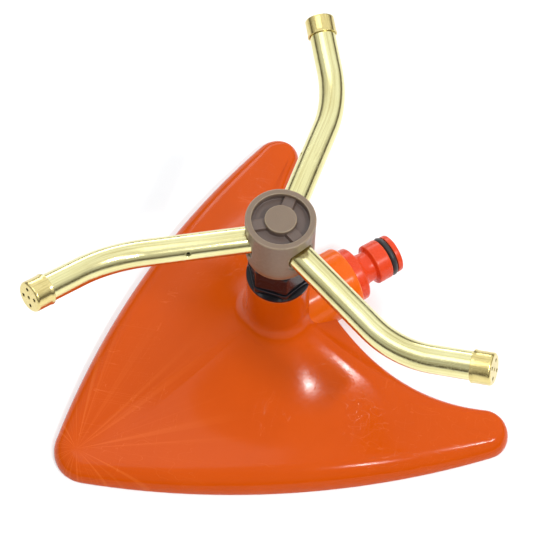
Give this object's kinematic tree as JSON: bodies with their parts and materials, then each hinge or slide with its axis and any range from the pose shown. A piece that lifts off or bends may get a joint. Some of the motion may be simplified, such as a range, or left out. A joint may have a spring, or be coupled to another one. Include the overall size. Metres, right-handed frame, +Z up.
{
  "type": "rotating garden sprinkler",
  "caption": "Garden sprinkler: a hollow cone base on three rounded feet carries a free-spinning hub with bent jet arms; a hose adapter enters the notch at its side.",
  "frame": {"origin": "on the rotor's axis at ground level, the middle of the post's flat end under the base", "axes": "+Z up along the rotor's axis, +X out along the hose inlet"},
  "size_m": [0.1677, 0.1781, 0.1049],
  "materials": {
    "base_orange": "glossy moulded, light scratches",
    "adapter_red_orange": "satin moulded",
    "nut_black": "glossy moulded",
    "hub_taupe": "satin, slightly translucent",
    "tube_plated": "bright yellow plating with drawing marks",
    "cap_drawn": "drawn cup, bright",
    "stem_brass": "turned",
    "bush_white": "moulded",
    "washer_grey": "punched sheet",
    "rubber_black": "moulded"
  },
  "bodies": {
    "base": {"base_shell": "base_orange", "bearing_nut": "nut_black", "nut_gasket": "rubber_black", "bearing_bush": "bush_white", "lower_washer": "washer_grey", "inlet_adapter": "adapter_red_orange", "adapter_o_ring": "rubber_black", "inlet_gasket": "rubber_black"},
    "rotor": {"upper_washer": "washer_grey", "rotor_hub": "hub_taupe", "hollow_stem": "stem_brass", "stem_o_ring": "rubber_black", "arm_tube_1": "tube_plated", "jet_cap_1": "cap_drawn", "arm_seal_1": "rubber_black", "arm_tube_2": "tube_plated", "jet_cap_2": "cap_drawn", "arm_seal_2": "rubber_black", "arm_tube_3": "tube_plated", "jet_cap_3": "cap_drawn", "arm_seal_3": "rubber_black"}
  },
  "joints": [
    {"name": "rotor_spin", "type": "hinge", "parent": "base", "child": "rotor", "pos_m": [0, 0, 0.09], "axis": [0, 0, 1], "continuous": true}
  ]
}
